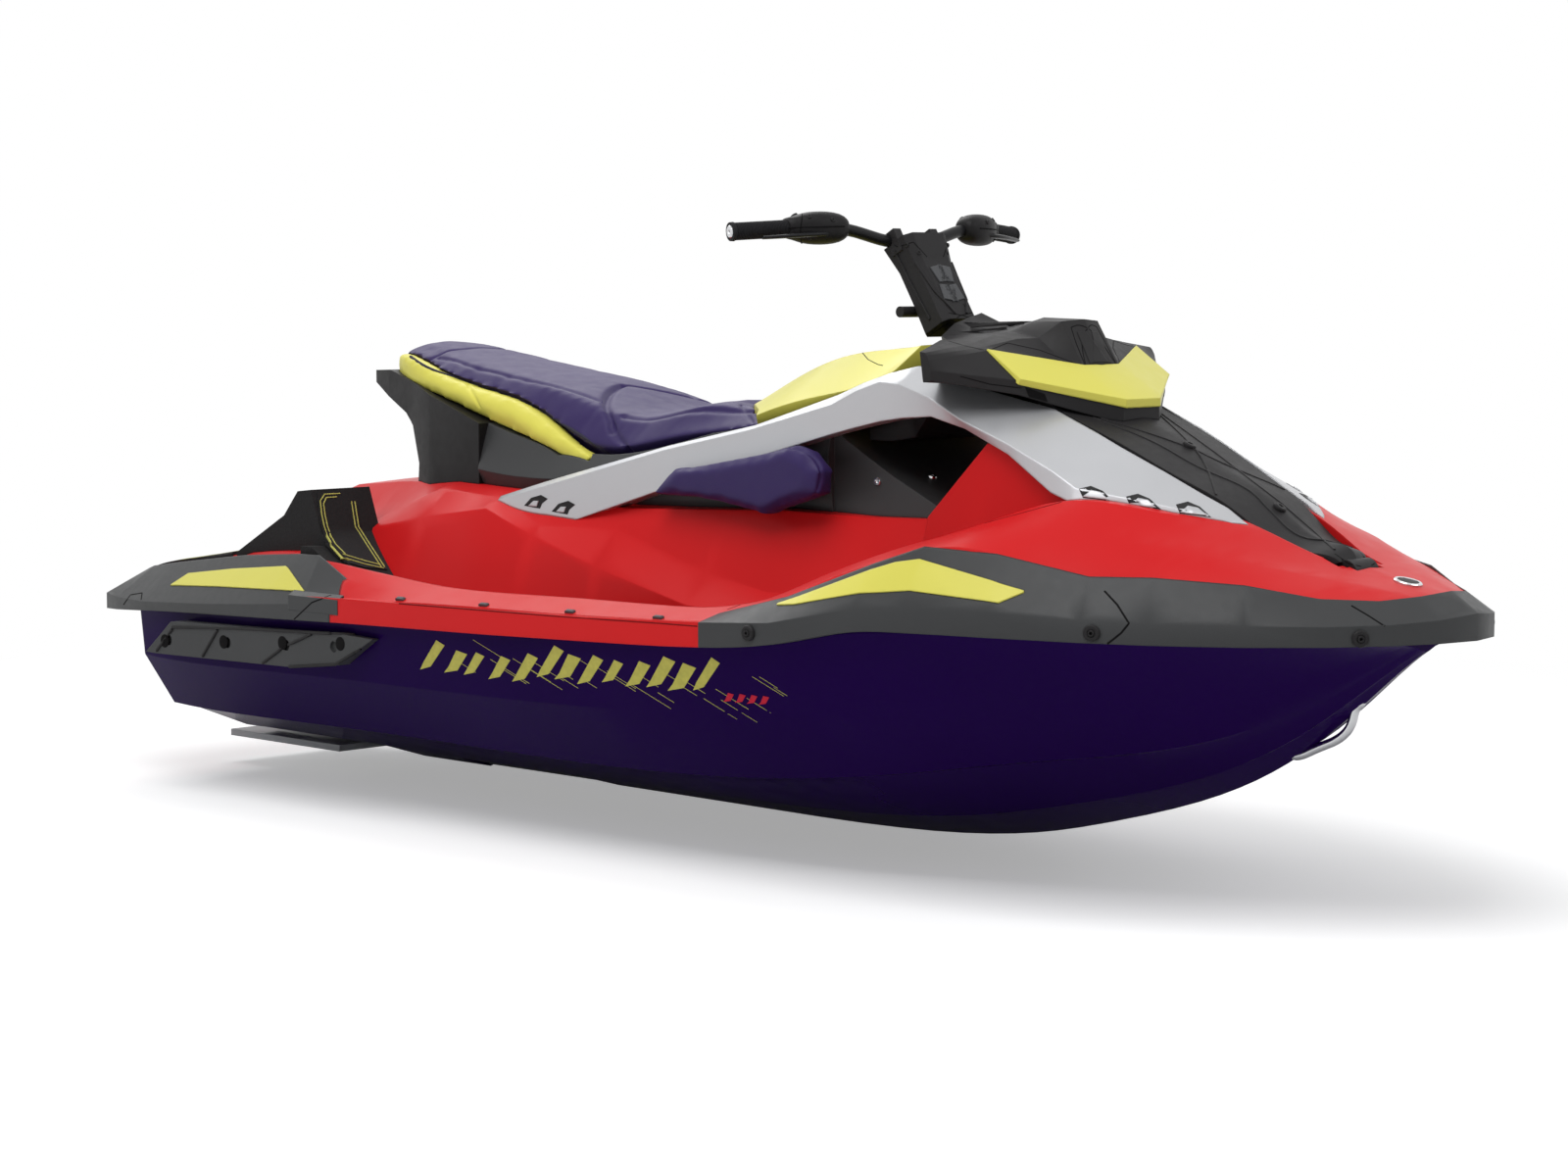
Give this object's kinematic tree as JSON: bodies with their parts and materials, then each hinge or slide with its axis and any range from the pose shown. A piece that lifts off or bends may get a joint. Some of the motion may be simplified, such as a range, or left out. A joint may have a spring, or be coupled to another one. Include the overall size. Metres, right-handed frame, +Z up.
{
  "type": "personal watercraft",
  "caption": "Two-seat personal watercraft with a straddle seat, leaning handlebar, side arches, opening hood and a jet pump with steering nozzle and reverse bucket.",
  "frame": {"origin": "on the waterline at mid-length, on the centre plane, 240 mm above the keel line", "axes": "+X forward to the bow, +Y to port, +Z up"},
  "size_m": [3.13, 1.13, 1.1408],
  "materials": {
    "hull_indigo": "gloss gelcoat",
    "deck_red": "satin moulded skin",
    "grey_plastic": "fine-grained moulded plastic",
    "black_plastic": "moulded plastic",
    "arch_silver": "metallic paint",
    "seat_purple": "marine vinyl",
    "seat_yellow": "marine vinyl",
    "trim_yellow": "gloss moulded trim",
    "mat_black": "foam traction mat",
    "plate_grey": "painted plate",
    "cast_alloy": "cast",
    "engine_metal": "plain block",
    "eye_steel": "polished stainless steel",
    "bar_black": "black powder coat",
    "grip_rubber": "moulded rubber"
  },
  "bodies": {
    "craft": {"hull": "hull_indigo", "deck": "deck_red", "seat_body": "deck_red", "platform_mat": "mat_black", "bow_bumper": "grey_plastic", "centre_base": "black_plastic", "tail_support": "grey_plastic", "seat_cushion": "seat_purple", "seat_nose": "trim_yellow", "steering_bridge": "black_plastic", "storage_bin": "black_plastic", "engine_block": "engine_metal", "pump_housing": "cast_alloy", "intake_grate": "cast_alloy", "ride_plate": "plate_grey", "bow_eye": "eye_steel", "stern_eyes": "eye_steel", "hinge_pin": "eye_steel", "side_arch_left": "arch_silver", "side_arch_right": "arch_silver", "footwell_mat_left": "mat_black", "footwell_mat_right": "mat_black", "knee_pad_left": "seat_purple", "knee_pad_right": "seat_purple", "seat_panel_left": "seat_yellow", "seat_panel_right": "seat_yellow", "foot_chock_left": "mat_black", "foot_chock_right": "mat_black", "sponson_left": "grey_plastic", "sponson_right": "grey_plastic", "stern_bumper_left": "grey_plastic", "stern_bumper_right": "grey_plastic", "bow_insert_left": "trim_yellow", "bow_insert_right": "trim_yellow", "stern_insert_left": "trim_yellow", "stern_insert_right": "trim_yellow"},
    "hood": {"hood_spine": "grey_plastic", "dash_cowl": "grey_plastic", "cowl_nose": "trim_yellow"},
    "steering": {"steering_column": "black_plastic", "handlebar": "bar_black", "grip_left": "grip_rubber", "grip_right": "grip_rubber", "control_pod_left": "black_plastic", "control_pod_right": "black_plastic"},
    "nozzle": {"steering_nozzle": "cast_alloy"},
    "bucket": {"reverse_bucket": "cast_alloy"},
    "impeller": {"impeller": "eye_steel"}
  },
  "joints": [
    {"name": "hood_hinge", "type": "hinge", "parent": "craft", "child": "hood", "pos_m": [1.33025, 0, 0.29705], "axis": [0, 1, 0], "range_deg": [0, 48]},
    {"name": "steering_turn", "type": "hinge", "parent": "craft", "child": "steering", "pos_m": [0.44289, 0, 0.6892], "axis": [-0.5045, 0, 0.8634], "range_deg": [-22, 22]},
    {"name": "nozzle_swing", "type": "hinge", "parent": "craft", "child": "nozzle", "pos_m": [-1.36599, 0, -0.115], "axis": [0, 0, 1], "range_deg": [-15.4, 15.4]},
    {"name": "bucket_tilt", "type": "hinge", "parent": "nozzle", "child": "bucket", "pos_m": [-1.42528, 0, -0.115], "axis": [0, -1, 0], "range_deg": [0, 75]},
    {"name": "impeller_spin", "type": "hinge", "parent": "craft", "child": "impeller", "pos_m": [-1.2, 0, -0.115], "axis": [1, 0, 0], "continuous": true}
  ],
  "couplings": [
    {"joint": "nozzle_swing", "follows": "steering_turn", "ratio": -0.7}
  ]
}
